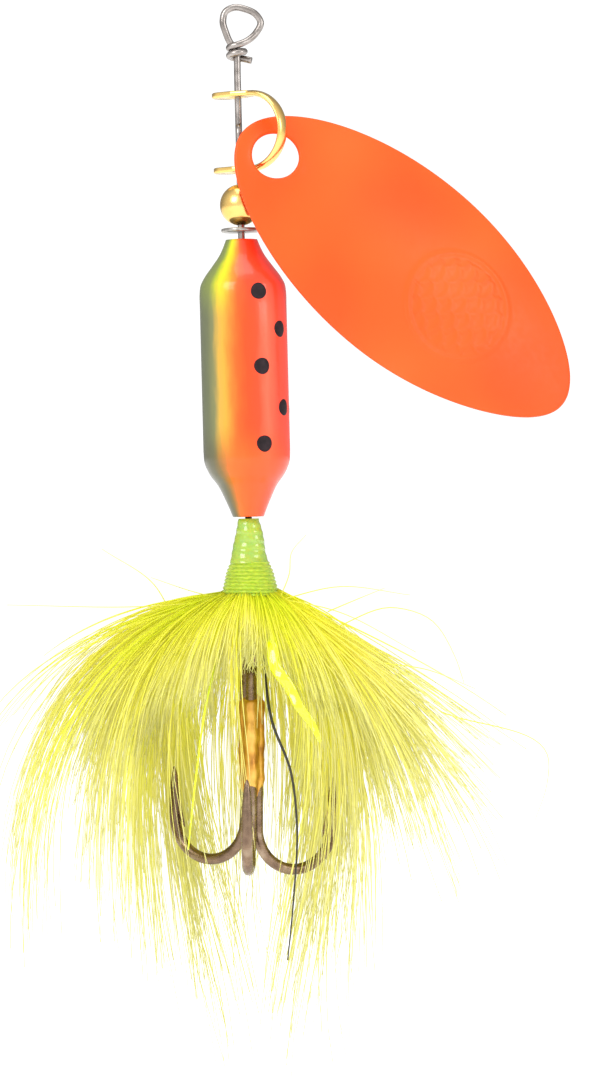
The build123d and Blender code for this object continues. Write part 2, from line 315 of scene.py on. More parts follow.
def bright_brass():
    """Polished brass plate: pale gold in the light and brown in the shade, with faint rubbing marks."""
    material, tree, shader = finish("polished brass plate", Metallic=1.0, Roughness=0.2)
    tint = patchy(tree, 0.9, (0.25, "#e6bc6a"), (0.75, "#efcb7e"))
    put(tree, shader, Base_Color=tint, Roughness=worn(tree, 0.6, 0.16, 0.24))
    return material


def dull_nickel():
    """Dull nickel: grey, with turning marks that spread the light."""
    material, tree, shader = finish("dull nickel plate", Metallic=1.0, Roughness=0.4)
    tint = patchy(tree, 1.0, (0.3, "#908c86"), (0.7, "#bab6b0"), stretch=(4, 4, 1))
    put(tree, shader, Base_Color=tint)
    return material


def blade_paint(paint):
    """Satin fluorescent orange paint: almost flat colour with wide redder patches and soft orange peel."""
    material, tree, shader = finish(
        "satin fluorescent orange paint", Roughness=0.42, Specular_IOR_Level=0.25
    )
    wide = noise(tree, place(tree), 0.09, 1.0)
    peel = noise(tree, place(tree), 2.2)
    tint = ramp(tree, wide, ((0.3, "#fb4a10"), (0.55, paint), (0.75, "#f95e22")))
    rough = shares(tree, peel, 0.3, 0.7, 0.36, 0.48)
    put(tree, shader, Base_Color=tint, Roughness=rough, Normal=bump(tree, peel, 0.15, 0.02))
    return material


UPPER_BAND = (
    (0.0, "#58643a"), (0.3, "#77823f"), (0.36, "#a3ae26"), (0.41, "#e0cc10"), (0.455, "#f6b60e"),
    (0.5, "#f68418"), (0.55, "#f3521a"), (0.62, "#f33e1a"), (1.0, "#ee321c"),
)
# In the middle band the paler pink stop at 0.76, about 32 degrees right of the front, is a painted
# highlight; the reds round it are the paint's own.
MIDDLE_BAND = (
    (0.0, "#4a503d"), (0.27, "#606547"), (0.33, "#74754a"), (0.385, "#c0983a"), (0.43, "#f4962c"),
    (0.48, "#f5761a"), (0.53, "#f35608"), (0.6, "#f54206"), (0.68, "#f34012"), (0.76, "#ef5a3a"),
    (0.86, "#ee452c"), (1.0, "#ec3a22"),
)
LOWER_BAND = (
    (0.0, "#42453a"), (0.3, "#5a573b"), (0.36, "#7a602b"), (0.41, "#b06820"), (0.46, "#ea6412"),
    (0.52, "#f35c0c"), (0.62, "#f5540e"), (0.75, "#f25420"), (1.0, "#eb3e1c"),
)


def banded_paint():
    """Gloss paint in sprayed bands: olive back, then yellow, orange and a red belly, each fading softly.

    The bands follow the angle from the middle of the back, and three sets of them share the body's length.
    In the middle set, a paler pink stop in the red, about 32 degrees right of the front, is a painted
    highlight.
    """
    material, tree, shader = finish(
        "gloss paint in bands with painted highlight",
        Roughness=0.34,
        Specular_IOR_Level=0.25,
        Coat_Weight=0.4,
        Coat_Roughness=0.08,
    )
    x, y, z = add(tree, "ShaderNodeSeparateXYZ", {0: place(tree)}).outputs
    angle = number(tree, "ARCTAN2", x, number(tree, "MULTIPLY", y, -1.0))
    turned = number(tree, "ADD", angle, math.radians(105) + math.pi)
    wrapped = number(tree, "SUBTRACT", number(tree, "FLOORED_MODULO", turned, 2 * math.pi), math.pi)
    mist = number(tree, "SUBTRACT", noise(tree, place(tree, (1, 1, 0.25)), 1.6), 0.5)
    spray = number(tree, "MULTIPLY", mist, 0.06)
    across = number(tree, "ADD", number(tree, "DIVIDE", number(tree, "ABSOLUTE", wrapped), math.pi), spray)
    foot, middle = ramp(tree, across, LOWER_BAND), ramp(tree, across, MIDDLE_BAND)
    low = mixed(tree, shares(tree, z, -35.5, -32.0), foot, middle)
    whole = mixed(tree, shares(tree, z, -24.0, -20.0), low, ramp(tree, across, UPPER_BAND))
    put(tree, shader, Base_Color=whole)
    return material


def ink():
    """Gloss black ink that stands proud of the paint, a little brown where it is thin."""
    material, tree, shader = finish("gloss black ink", Roughness=0.5, Specular_IOR_Level=0.15)
    put(tree, shader, Base_Color=patchy(tree, 1.5, (0.3, "#1a1114"), (0.7, "#2a1e22")))
    return material


def varnish():
    """Clear varnish soaked into green thread: wet gloss with cloudy patches."""
    material, tree, shader = finish(
        "varnish over green thread",
        Roughness=0.22,
        Coat_Weight=0.8,
        Coat_Roughness=0.05,
        Subsurface_Weight=0.3,
        Subsurface_Scale=0.6 * MM,
    )
    cloud = noise(tree, place(tree, (1, 1, 1.4)), 0.9)
    tint = ramp(tree, cloud, ((0.3, "#a3b722"), (0.55, "#95b232"), (0.75, "#8bb04a")))
    put(tree, shader, Base_Color=tint, Normal=bump(tree, cloud, 0.3, 0.05))
    return material


def waxed_thread(dye):
    """Waxed fluorescent thread: each turn has lighter and darker flecks and a slight twist."""
    material, tree, shader = finish(
        "waxed green thread",
        Roughness=0.42,
        Sheen_Weight=0.2,
        Subsurface_Weight=0.2,
        Subsurface_Scale=0.4 * MM,
    )
    twist = noise(tree, place(tree, (2, 2, 5)), 1.4)
    tint = ramp(tree, twist, ((0.3, "#86a40e"), (0.6, dye), (0.8, "#bccb2a")))
    put(tree, shader, Base_Color=tint, Normal=bump(tree, twist, 0.35, 0.03))
    return material


def bronzed_steel():
    """Bronzed hook wire: brown-grey with a pinkish cast where the finish is thin."""
    material, tree, shader = finish("bronzed steel", Metallic=1.0, Roughness=0.28)
    tint = patchy(tree, 0.8, (0.3, "#6a5648"), (0.55, "#86705c"), (0.75, "#a3907c"))
    put(tree, shader, Base_Color=tint, Roughness=worn(tree, 4.0, 0.2, 0.36))
    return material


def braze_metal():
    """Braze as it froze: golden, brown and coppery in patches, lumpy and half bright."""
    material, tree, shader = finish("braze as run", Metallic=1.0, Roughness=0.34)
    tint = patchy(tree, 0.7, (0.3, "#a8703a"), (0.5, "#d19a48"), (0.7, "#e8bb62"))
    put(tree, shader, Base_Color=tint, Normal=bump(tree, noise(tree, place(tree), 1.2), 0.3, 0.05))
    return material


def dyed_barbs_with_painted_glow(dye):
    """Dyed feather barbs: yellow-green at the root, lemon along the barb and pale at the tip.

    Light comes through them, and they glow a little in their own colour: partly the dye's fluorescence,
    partly painted light that lifts the shade between the barbs.
    """
    # An emission of 0.3 in the barbs' own colour is a painted glow that lightens the shade between barbs;
    # it also stands for the dye's fluorescence.
    material, tree, shader = finish(
        "dyed feather barbs with painted glow", Roughness=0.6, Sheen_Weight=0.1, Specular_IOR_Level=0.3, Emission_Strength=0.3
    )
    along = add(tree, "ShaderNodeAttribute", attribute_name="along").outputs["Fac"]
    shade = add(tree, "ShaderNodeAttribute", attribute_name="shade").outputs["Fac"]
    plain = ((0.0, "#d4d21a"), (0.12, "#e8e52e"), (0.4, dye), (0.7, "#ece896"), (1.0, "#dcd994"))
    deep = ((0.0, "#b4c010"), (0.12, "#d6e010"), (0.45, "#e4e52a"), (0.75, "#e6e366"), (1.0, "#d6d57e"))
    tint = mixed(tree, shade, ramp(tree, along, plain), ramp(tree, along, deep))
    through = add(tree, "ShaderNodeBsdfTranslucent", {"Color": tint}).outputs[0]
    both = add(tree, "ShaderNodeMixShader", {0: 0.42, 1: shader.outputs[0], 2: through}).outputs[0]
    # The painted glow takes the barbs' colour.
    put(tree, shader, Base_Color=tint, Emission_Color=tint)
    tree.links.new(both, tree.nodes["Material Output"].inputs["Surface"])
    return material


def film():
    """Fluorescent yellow-green film with a wet gloss that catches a white glint."""
    material, tree, shader = finish(
        "fluorescent tinsel film", Roughness=0.15, Coat_Weight=1.0, Coat_Roughness=0.04
    )
    put(tree, shader, Base_Color=patchy(tree, 0.8, (0.3, "#d4ea00"), (0.7, "#e4f500")))
    return material


def quill_finish():
    """Dyed quill: near black, dull, a little brown along its length."""
    material, tree, shader = finish("dyed black quill", Roughness=0.5)
    put(tree, shader, Base_Color=patchy(tree, 1.0, (0.3, "#17150f"), (0.7, "#2d2a1c")))
    return material


def floor_card():
    """Matt white card with a glow of its own, so that the lure seems to lie on plain white."""
    material, tree, shader = finish(
        "white card", Roughness=0.9, Emission_Color=(1, 1, 1, 1), Emission_Strength=0.4
    )
    put(tree, shader, Base_Color=patchy(tree, 0.01, (0.0, "#fbfbfb"), (1.0, "#ffffff")))
    return material


# Pieces.
def blade_surface(x, y):
    """The blade's middle surface and its normal at x mm along and y mm across from the hole.

    It is part of a barrel whose radius is 75 mm along the blade and 20 mm across it.
    """
    long, wide = 75, 20
    q = np.sqrt(wide**2 - y * y)
    w = np.sqrt((long - wide + q) ** 2 - x * x)
    across = np.cross(FACE, ALONG)
    points = HOLE + x[..., None] * ALONG + y[..., None] * across + (w - long)[..., None] * FACE
    fx, fy = -x / w, -(long - wide + q) / w * y / q
    normals = unit(FACE - fx[..., None] * ALONG - fy[..., None] * across)
    return points, normals


def relief(x, y, depth):
    """Height of the pressed pattern: a low ring of 4.25 mm radius filled with rows of fish scales.

    Each scale is a raised arc round its own centre, and every second row is set off by half a scale.
    """
    pitch, width = 0.95, 1.7
    dx, dy = x - 18.8, y + 0.15
    far = np.hypot(dx, dy)
    ring = np.exp(-(((far - 4.25) / 0.2) ** 2))
    row = np.floor(dx / pitch)
    half = 0.5 * np.mod(row, 2)
    column = np.round(dy / width - half) + half
    arc = np.hypot(dx - row * pitch + 0.35, dy - column * width)
    scales = np.exp(-(((arc - 0.98) / 0.16) ** 2)) * (far < 3.75)
    return depth * (ring + 0.8 * scales)


def build_blade(settings):
    """The blade as rays from its hole to its outline, an oval 33.7 mm by 16 mm, narrower at the tip.

    Along a ray the section runs over the front, round the edge, back under and round the edge of the hole.
    The front has a raised lip round the hole and the pressed pattern.
    """
    face, back = 104, 16
    t = circle(512)
    s = np.cos(t)
    narrow = 1 - np.where(s > 0, 0.17, 0.10) * s * s
    outline = np.stack((13.55 + 16.85 * s, 8.0 * np.sin(t) * narrow), axis=-1)
    ray = unit(outline)
    thick = settings.sheet * 1000 / 2
    edge = np.linspace(0, math.pi, 9)[1:-1]
    round_out, round_up = thick * np.sin(edge), thick * np.cos(edge)
    w = np.concatenate((np.linspace(0, 1, face) ** 0.9, np.ones(7), np.linspace(1, 0, back), np.zeros(7)))
    out = np.concatenate((np.zeros(face), round_out, np.zeros(back), -round_out))
    up = np.concatenate((np.full(face, thick), round_up, np.full(back, -thick), -round_up))
    reach = np.linalg.norm(outline, axis=1) - thick
    hole = 1.9 + thick
    radius = hole + w[:, None] * (reach - hole) + out[:, None]
    x, y = radius * ray[:, 0], radius * ray[:, 1]
    lip = 0.13 * np.exp(-np.maximum(radius - hole, 0) / 0.3) * (0.6 + 0.4 * np.sin(2 * t + 0.5))
    height = up[:, None] + lip
    height[:face] += relief(x[:face], y[:face], settings.relief * 1000)
    middle, normals = blade_surface(x, y)
    points = middle + height[..., None] * normals
    shell = (points, grid_faces(len(w), len(t), True), NO_TRIANGLES)
    piece = solid("blade_sheet", [shell], blade_paint(settings.paint))
    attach(piece, "blade")
    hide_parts("blade")


# Radius and height down the side of the body, at its shoulder and at its foot.
BODY_TOP = (
    (1.27, -17.26), (1.48, -17.8), (1.82, -18.5), (2.45, -19.4), (3.1, -20.3), (3.4, -20.9),
    (3.49, -21.5), (3.5, -22.6),
)
BODY_FOOT = (
    (3.5, -34.3), (3.42, -35.2), (3.05, -36.1), (2.35, -37.1), (1.82, -38.2), (1.4, -39.2),
    (1.25, -39.6),
)
BODY_RADIUS = 3.5
# Centres of the dots: degrees round from the front, height.
DOTS = (
    (22, -21.6), (56, -24.6), (24, -27.6), (61, -30.9), (25, -33.8), (106, -24.7), (138, -21.7),
    (104, -31.0), (137, -27.7), (139, -33.9),
)


def build_body(settings):
    """The body turned from its profile, with a plain bore, and the ink dots on it.

    Each dot is an uneven disc wrapped on the body and domed 0.04 mm, with its underside in the body.
    """
    side = np.concatenate((curve(BODY_TOP, 40), curve(BODY_FOOT, 48)))
    profile = np.concatenate((((BORE, -17.26), (0.8, -17.235)), side, ((0.8, -39.6), (BORE, -39.6))))
    piece = solid("body_paint", [lathe(profile, 128)], banded_paint())
    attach(piece, "body")
    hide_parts("body")
    rings, count = 10, 40
    share = np.linspace(0, 1, rings)[1:, None]
    turn = circle(count)
    shells = []
    for azimuth, height in DOTS:
        size = settings.dot * 500 * (1 + 0.02 * np.sin(3 * turn + azimuth))
        z = height + size * share * np.sin(turn)
        angle = math.radians(azimuth - 90) + size * share * np.cos(turn) / BODY_RADIUS
        layers = []
        for rise, dome in ((0.015, 0.04), (-0.1, 0.0)):
            r = np.interp(-z, -side[:, 1], side[:, 0]) + rise + dome * (1 - share**2)
            layers.append(np.stack((r * np.cos(angle), r * np.sin(angle), z), axis=-1))
        centre = [layer[0].mean(axis=0) for layer in layers]
        grid = np.concatenate((layers[0], layers[1][::-1])).reshape(-1, 3)
        triangles = lids(count, len(grid) - count, len(grid))
        shells.append((np.concatenate((grid, centre)), grid_faces(2 * (rings - 1), count), triangles))
    dots = solid("body_dots", shells, ink())
    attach(dots, "body")


# Radius and height down the side of the binding.
WRAP = (
    (0.8, -39.75), (1.08, -40.7), (1.22, -41.6), (1.32, -42.5), (1.55, -43.3), (1.86, -44.1),
    (2.03, -44.8), (2.17, -45.4), (2.2, -45.95),
)


def build_binding(settings):
    """The binding on a widening cone: below, turns of thread as a helix of rounded ridges.

    Above, the turns are drowned in varnish, which runs in soft uneven rings.
    """
    line = curve(WRAP, 240)
    upper, lower = line[line[:, 1] > -43.35], line[line[:, 1] < -43.25]
    pitch = settings.pitch * 1000

    def wet(r, z, angle):
        """Soft rings that wander round the head."""
        turns = z / 0.62 + angle / (2 * math.pi)
        rings = 0.018 * np.cos(2 * math.pi * turns) + 0.05 * np.sin(1.7 * z + 1.3 * np.sin(angle + 0.4 * z))
        return r + rings * (r > 0.6) + 0.05 * np.sin(2 * angle + 1.6 * z) * (r > 0.6)

    def wound(r, z, angle):
        """Rounded ridges, one to each turn."""
        turns = z / pitch + angle / (2 * math.pi) + 0.12 * np.sin(angle + 2.2 * z)
        ridge = np.abs(np.sin(math.pi * turns)) ** 0.7
        return r + (0.13 * ridge - 0.06) * (r > 1.2)

    top = np.concatenate((((CORE, -39.75),), upper, ((CORE, -43.35),)))
    piece = solid("varnished_head", [lathe(top, 96, wet)], varnish())
    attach(piece, "shaft")
    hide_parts("head_varnish")
    low = np.concatenate((((CORE, -43.25),), lower, ((1.1, -46.0), (1.0, -44.3), (CORE, -43.9))))
    piece = solid("wound_thread", [lathe(low, 144, wound)], waxed_thread(settings.thread))
    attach(piece, "shaft")
    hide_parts("tying_thread")


# The treble's own frame: it leans a little, and is turned about the shaft with the loop that holds it.
LEAN, TURN = math.radians(1.5), math.radians(28)
HOOK_UP = np.array((math.sin(LEAN), 0.0, math.cos(LEAN)))
HOOK_X = np.array((math.cos(TURN), math.sin(TURN), 0.0))
HOOK_X = unit(HOOK_X - HOOK_UP * (HOOK_X @ HOOK_UP))
HOOK_Y = np.cross(HOOK_UP, HOOK_X)
SHANK = 0.56  # from the treble's axis to the middle of a shank
BEND = 3.42  # radius of a hook's bend
HOOK_WIRE = 0.45  # radius
BRAZE_TOP, BRAZE_FOOT = -4.1, -13.2


def on_hook(out, side, up, azimuth):
    """Points in the shared frame, from distances out, aside and up in the treble's and an azimuth."""
    a = math.radians(azimuth)
    x = out * math.cos(a) - side * math.sin(a)
    y = out * math.sin(a) + side * math.cos(a)
    return PIVOT + x[..., None] * HOOK_X + y[..., None] * HOOK_Y + up[..., None] * HOOK_UP


def hook_wire(azimuth, top, drop):
    """One hook: shank, half-round bend, leg and spear, with a barb cut up inside it.

    The spear tapers in an ogive, as the root of what is left of its length, and leans a little outward.
    """
    bend, far = -14.2 - drop, SHANK + 2 * BEND
    shank, leg_steps = 16, 28
    arc = np.linspace(0, math.pi, 44)
    out = np.concatenate((np.full(shank, SHANK), SHANK + BEND * (1 - np.cos(arc)), np.full(leg_steps, far)))
    rise = np.linspace(0, 1, leg_steps + 1)[1:]
    down = np.linspace(top, bend, shank + 1)[:-1]
    up = np.concatenate((down, bend - BEND * np.sin(arc), bend + 4.0 * rise))
    on_leg = np.arange(len(up)) > shank + len(arc)
    lean = np.clip((up - bend - 0.6) / 3.4, 0, 1) * on_leg
    radii = np.where(on_leg, HOOK_WIRE * np.sqrt(np.clip(1 - lean**1.7, 0.006, 1)), HOOK_WIRE)
    side = on_hook(np.zeros(1), np.ones(1), np.zeros(1), azimuth)[0] - PIVOT
    wire = tube(on_hook(out + 0.1 * lean**2, 0 * out, up, azimuth), radii, side, 20)
    leg = bend + 0.6
    cut = curve(((0.1, 1.35), (0.3, 0.55), (0.52, -0.35), (0.95, -1.5)), 18)
    share = np.linspace(0, 1, 18)
    thick = 0.2 * np.sin(math.pi * np.clip(0.12 + 0.86 * share, 0, 1)) ** 0.8 + 0.012
    barb = tube(on_hook(far - cut[:, 0], 0 * share, leg + cut[:, 1], azimuth), thick, side, 12, 0.9)
    return [wire, barb]


def build_hook(settings):
    """The treble: three bent wires, the eye they share, and the braze that joins them.

    The braze is a sleeve whose radius follows the three wires, with lumps where it ran.
    """
    shells = hook_wire(120, -1.75, 0.0) + hook_wire(-120, -1.75, 0.4) + hook_wire(0, -4.7, 0.8)
    round_eye = circle(56)[:, None]
    section = circle(18)[None, :]
    reach = 1.3 + 0.42 * np.cos(section)
    out = -0.28 + 0.42 * np.sin(section) + 0 * round_eye
    eye = on_hook(out, reach * np.cos(round_eye), -0.43 + reach * np.sin(round_eye), 0)
    shells.append((eye, grid_faces(56, 18, True), NO_TRIANGLES))
    piece = solid("treble_wires", shells, bronzed_steel())
    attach(piece, "hook")
    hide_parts("double_hook", "single_hook")
    rows, count = 90, 72
    angle = circle(count)[None, :]
    up = np.linspace(BRAZE_TOP, BRAZE_FOOT, rows)[:, None]
    away = np.abs(np.mod(angle + math.pi / 3, 2 * math.pi / 3) - math.pi / 3)
    run = np.clip(np.minimum((up - BRAZE_FOOT) / 2.2, (BRAZE_TOP - up) / 0.7), 0, 1) ** 0.5
    lump = 0.03 * np.sin(2.1 * up + 2 * np.sin(angle)) + 0.02 * np.sin(4.3 * up + 3 * angle)
    wire = SHANK * np.cos(away) + np.sqrt(np.maximum(0.54**2 - (SHANK * np.sin(away)) ** 2, 0))
    radius = (np.maximum(0.68, wire) + lump + 0.02) * (0.25 + 0.75 * run)
    sleeve = on_hook(radius * np.cos(angle), radius * np.sin(angle), up + 0 * angle, 0)
    ends = on_hook(np.zeros(2), np.zeros(2), np.array((BRAZE_TOP, BRAZE_FOOT)), 0)
    points = np.concatenate((sleeve.reshape(-1, 3), ends))
    triangles = lids(count, (rows - 1) * count, rows * count)
    piece = solid("braze_sleeve", [(points, grid_faces(rows, count), triangles)], braze_metal())
    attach(piece, "hook")
    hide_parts("hook_braze")


# Locks of the tail: azimuth from +X, first lean from straight down, reach and height of the tip, last lean,
# number of barbs, depth of colour.
LEFT = (
    (180, 82, 19.3, -77.6, -6, 34, 0.3), (176, 83, 20.0, -67.6, 0, 34, 0.2),
    (184, 76, 17.2, -77.4, -5, 40, 0.4), (170, 84, 20.8, -59.8, 22, 24, 0.1),
    (188, 70, 14.2, -69.0, 4, 90, 0.3), (182, 66, 11.8, -75.6, 0, 80, 0.2),
    (176, 58, 9.0, -79.6, 0, 70, 0.4), (196, 52, 4.6, -72.0, -2, 90, 0.5),
    (188, 50, 4.9, -78.7, 0, 60, 0.2), (182, 46, 2.4, -85.5, -8, 50, 0.2),
    (186, 48, 5.6, -83.5, -3, 50, 0.2), (176, 44, 0.4, -81.0, -12, 40, 0.2),
    (180, 72, 13.5, -60.0, 18, 190, 0.5), (186, 66, 11.0, -60.5, 12, 190, 0.4),
    (172, 74, 15.5, -62.0, 14, 150, 0.2), (178, 56, 7.2, -60.5, 6, 170, 0.6),
    (192, 40, 3.6, -57.5, 0, 110, 0.4), (190, 58, 8.8, -60.0, 8, 150, 0.2),
    (165, 62, 10.4, -63.0, 8, 100, 0.3), (177, 76, 16.2, -57.5, 34, 110, 0.2),
)
RIGHT = (
    (-20, 38, 3.3, -67.0, -3, 110, 0.5), (-16, 44, 5.6, -64.0, 0, 120, 0.4),
    (-8, 42, 4.2, -77.0, -4, 60, 0.2), (0, 50, 8.4, -66.5, 2, 110, 0.3),
    (8, 46, 6.8, -71.0, 0, 80, 0.2), (10, 44, 5.9, -81.2, -6, 44, 0.2),
    (-5, 42, 6.4, -86.5, 8, 56, 0.1), (20, 38, 1.6, -86.5, -10, 60, 0.1),
    (6, 44, 8.6, -80.0, 4, 50, 0.1), (-12, 38, 0.6, -83.0, -8, 40, 0.1),
    (0, 54, 14.4, -68.2, 10, 90, 0.2), (-4, 54, 17.0, -73.8, 16, 30, 0.1),
    (4, 54, 19.2, -70.0, 22, 30, 0.1), (0, 56, 20.7, -65.2, 36, 44, 0.1),
    (-3, 60, 21.6, -61.4, 52, 44, 0.1), (6, 56, 18.2, -63.0, 36, 90, 0.2),
    (10, 52, 13.4, -71.2, 8, 60, 0.2), (-8, 52, 11.2, -66.0, 8, 120, 0.3),
    (4, 56, 13.2, -62.0, 18, 170, 0.3), (-10, 52, 9.4, -58.5, 26, 190, 0.8),
    (5, 60, 15.4, -57.6, 44, 150, 0.3), (12, 56, 12.4, -58.5, 32, 140, 0.4),
    (-15, 46, 7.0, -57.0, 20, 180, 1.0),
)
FRONT = (
    (-90, 56, 4.6, -52.0, 30, 120, 0.5), (-112, 56, 5.0, -53.6, 20, 150, 0.4),
    (-68, 50, 4.6, -52.8, 24, 140, 1.0), (-132, 62, 8.0, -56.5, 18, 140, 0.3),
    (-48, 52, 7.0, -56.0, 30, 150, 0.9), (-152, 64, 9.6, -61.0, 10, 130, 0.3),
    (-32, 50, 8.0, -60.0, 14, 110, 0.6), (-100, 34, 3.0, -52.6, 0, 100, 0.4),
    (-82, 40, 3.0, -61.0, 0, 6, 0.2), (-110, 46, 4.4, -70.0, -2, 10, 0.2),
    (-60, 46, 4.0, -74.0, -4, 14, 0.2),
)
BACK = (
    (90, 62, 8.0, -58.0, 10, 90, 0.4), (60, 62, 9.5, -61.0, 12, 90, 0.3),
    (120, 66, 11.0, -61.0, 10, 90, 0.3), (70, 54, 7.0, -70.0, 2, 22, 0.2),
    (110, 54, 7.0, -74.0, 2, 22, 0.2), (40, 58, 11.0, -66.0, 10, 80, 0.3),
    (144, 68, 13.0, -68.0, 5, 80, 0.3), (90, 70, 10.0, -68.0, 4, 16, 0.2),
    (100, 46, 3.6, -84.0, -4, 36, 0.2), (80, 46, 3.6, -81.0, -2, 36, 0.2),
)
# Points along each stray barb.
STRAYS = (
    ((-6.4, -0.5, -47.2), (-7.6, -1.2, -45.0), (-11.8, -1.6, -41.9)),
    ((-2.0, -0.8, -46.3), (-8.5, -1.4, -46.6), (-19.5, -2.0, -46.2)),
    ((-2.0, -0.6, -46.2), (-4.3, -1.0, -45.6), (-7.9, -1.6, -44.3)),
    ((2.4, -1.2, -46.2), (3.2, -1.6, -44.2), (3.4, -1.8, -42.6), (4.6, -2.0, -41.2)),
    ((2.2, -1.0, -46.4), (7.2, -1.8, -45.4), (12.8, -2.2, -46.2)),
    ((6.2, -1.0, -47.4), (8.2, -1.4, -46.6), (10.8, -1.8, -45.6)),
    ((2.2, -1.0, -46.2), (7.0, -1.6, -47.4), (13.2, -2.4, -50.8)),
    ((6.9, -1.4, -48.0), (7.6, -1.8, -48.8), (7.9, -1.9, -50.0)),
    ((10.5, -2.0, -51.6), (14.0, -2.6, -52.2), (17.8, -2.8, -53.8)),
    ((6.5, -1, -48.8), (11.5, -1, -47.2), (14.4, -1, -48.2), (16.3, -1.2, -51.2), (17, -1.4, -53.4)),
    ((15.0, -1.6, -55.6), (23.6, -2.0, -59.8), (23.4, -2.2, -61.6), (22.3, -2.4, -64.6)),
)


TINSEL_RIGHT = (
    (1.3, -1.6, -46.0), (1.5, -3.0, -48.6), (1.9, -4.9, -51.4), (3.6, -5.6, -54.4), (5.4, -5.6, -57.6),
)
TINSEL_LEFT = (
    (-1.5, -1.3, -46.0), (-2.3, -2.6, -49.5), (-3.6, -3.6, -54.0), (-4.6, -4.2, -60.0), (-5.4, -4.3, -66.0),
)
QUILL = (
    (0.4, -1.9, -46.0), (0.9, -1.6, -51.0), (1.5, -2.2, -56.0), (2.9, -3.4, -60.0), (3.3, -4.2, -64.0),
    (2.9, -4.5, -70.0), (2.3, -4.2, -75.0),
)


def barbs(locks, seed, density, width):
    """Barbs of a group of locks, each following a cubic from the thread to the tip of its lock.

    Barbs go in bunches that share random offsets. Each adds smaller ones of its own, which grow along it,
    and bows, waves and stops short at a random share. Returns the centre lines as an array of barb by
    station, with the radius, the place along the barb and the shade.
    """
    rng = np.random.default_rng(seed)
    table = np.array(locks, float)
    table = np.repeat(table, np.maximum(1, (table[:, 5] * density).astype(int)), axis=0)
    count, stations = len(table), 15
    member = np.arange(count) // 12  # the bunch that each barb belongs to
    bunch = rng.normal(0, 1, (9, count // 12 + 1))[:, member]
    own = rng.normal(0, 1, (9, count))
    azimuth, first, reach, tip, last = table[:, :5].T
    azimuth = np.radians(azimuth + 8 * bunch[0] + 3 * own[0])
    start = np.radians(first + 4 * bunch[1] + 3 * own[1])
    end = np.radians(last + 5 * bunch[2] + 3 * own[2])
    reach = reach * (1 + 0.07 * bunch[3] + 0.02 * own[3])
    r0, z0 = 1.45 + 0.6 * rng.random(count), -45.6 - 0.45 * rng.random(count)
    size = np.hypot(reach - r0, tip - z0)
    tip = tip + size * (0.03 * bunch[4] + 0.015 * own[4])
    pull = size * np.where(first > 68, 0.43, 0.36)
    ends = np.stack(
        (
            np.stack((r0, z0), axis=-1),
            np.stack((r0 + pull * np.sin(start), z0 - pull * np.cos(start)), axis=-1),
            np.stack((reach - 0.38 * size * np.sin(end), tip + 0.38 * size * np.cos(end)), axis=-1),
            np.stack((reach, tip), axis=-1),
        )
    )
    stop = 0.86 + 0.14 * rng.random(count // 12 + 1)[member]
    stop = stop * (0.52 + 0.48 * rng.random(count) ** 0.7)
    s = np.linspace(0, 1, stations)[None, :]
    t = (stop[:, None] * s)[..., None]
    line = (
        (1 - t) ** 3 * ends[0][:, None]
        + 3 * t * (1 - t) ** 2 * ends[1][:, None]
        + 3 * t * t * (1 - t) * ends[2][:, None]
        + t**3 * ends[3][:, None]
    )
    t = t[..., 0]
    spread = 0.012 * bunch[5:8] + 0.016 * own[5:8]
    wander = spread[..., None] * size[:, None] * t + 0.1 * own[5:8][..., None]
    bow = (0.03 * bunch[8] + 0.012 * own[8])[:, None] * size[:, None] * np.sin(math.pi * t)
    wave = 0.12 * t * rng.random((count, 1)) * np.sin(2 * math.pi * (1.5 + 2 * rng.random((count, 1))) * t)
    wave += 0.35 * t * t * own[4][:, None] * np.sin(2.6 * math.pi * t + 6 * rng.random((count, 1)))
    radial = np.stack((np.cos(azimuth), np.sin(azimuth), 0 * azimuth), axis=-1)[:, None]
    sideways = np.stack((-np.sin(azimuth), np.cos(azimuth), 0 * azimuth), axis=-1)[:, None]
    points = (
        (line[..., :1] + wander[0][..., None]) * radial
        + (1.6 * wander[1] + bow + wave)[..., None] * sideways
        + (line[..., 1:] + wander[2][..., None]) * UP
    )
    # Most barbs near the two side hooks, 5.2 mm out, fall behind them.
    x, y, z = np.moveaxis(points, -1, 0)
    free = np.where(x < 0, 0.03, 0.22) > rng.random((count, 1))
    fall = np.clip((-53.5 - z) / 4.5, 0, 1)
    near = np.clip(1.9 - np.abs(np.abs(x) - 5.2) / 2.6, 0, 1)
    y += fall * fall * (3 - 2 * fall) * near * (np.maximum(y, 0.12 * y + 5.5) - y) * ~free
    radius = width * 500 * (0.75 + 0.5 * rng.random((count, 1)))
    radius = radius * (1 - 0.6 * s) * np.minimum(1, 0.5 + 4 * s)
    shade = np.clip(table[:, 6:7] + 0.18 * bunch[0][:, None] + 0.15 * own[3][:, None], 0, 1) + 0 * s
    return points, radius, np.broadcast_to(s, radius.shape), shade


def strands(points, radius):
    """Three-sided tubes round the centre lines, closed with a triangle at each end, as one shell."""
    count, stations = radius.shape
    along = unit(np.gradient(points, axis=1))
    across = unit(np.cross(along, np.array((0.31, 0.87, 0.38))))
    other = np.cross(along, across)
    angle = np.radians((0, 120, 240))[None, None, :, None]
    rings = points[:, :, None] + radius[:, :, None, None] * (
        np.cos(angle) * across[:, :, None] + np.sin(angle) * other[:, :, None]
    )
    size = stations * 3
    first = (np.arange(count) * size)[:, None, None]
    quads = grid_faces(stations, 3)[None] + first
    ends = np.array(((2, 1, 0), (size - 3, size - 2, size - 1)))[None] + first
    return rings.reshape(-1, 3), quads.reshape(-1, 4), ends.reshape(-1, 3)


def hang(piece, slot, *nodes):
    """Bakes the piece's placing into its mesh and hides the nodes that it stands for."""
    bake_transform(piece)
    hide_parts(*nodes)


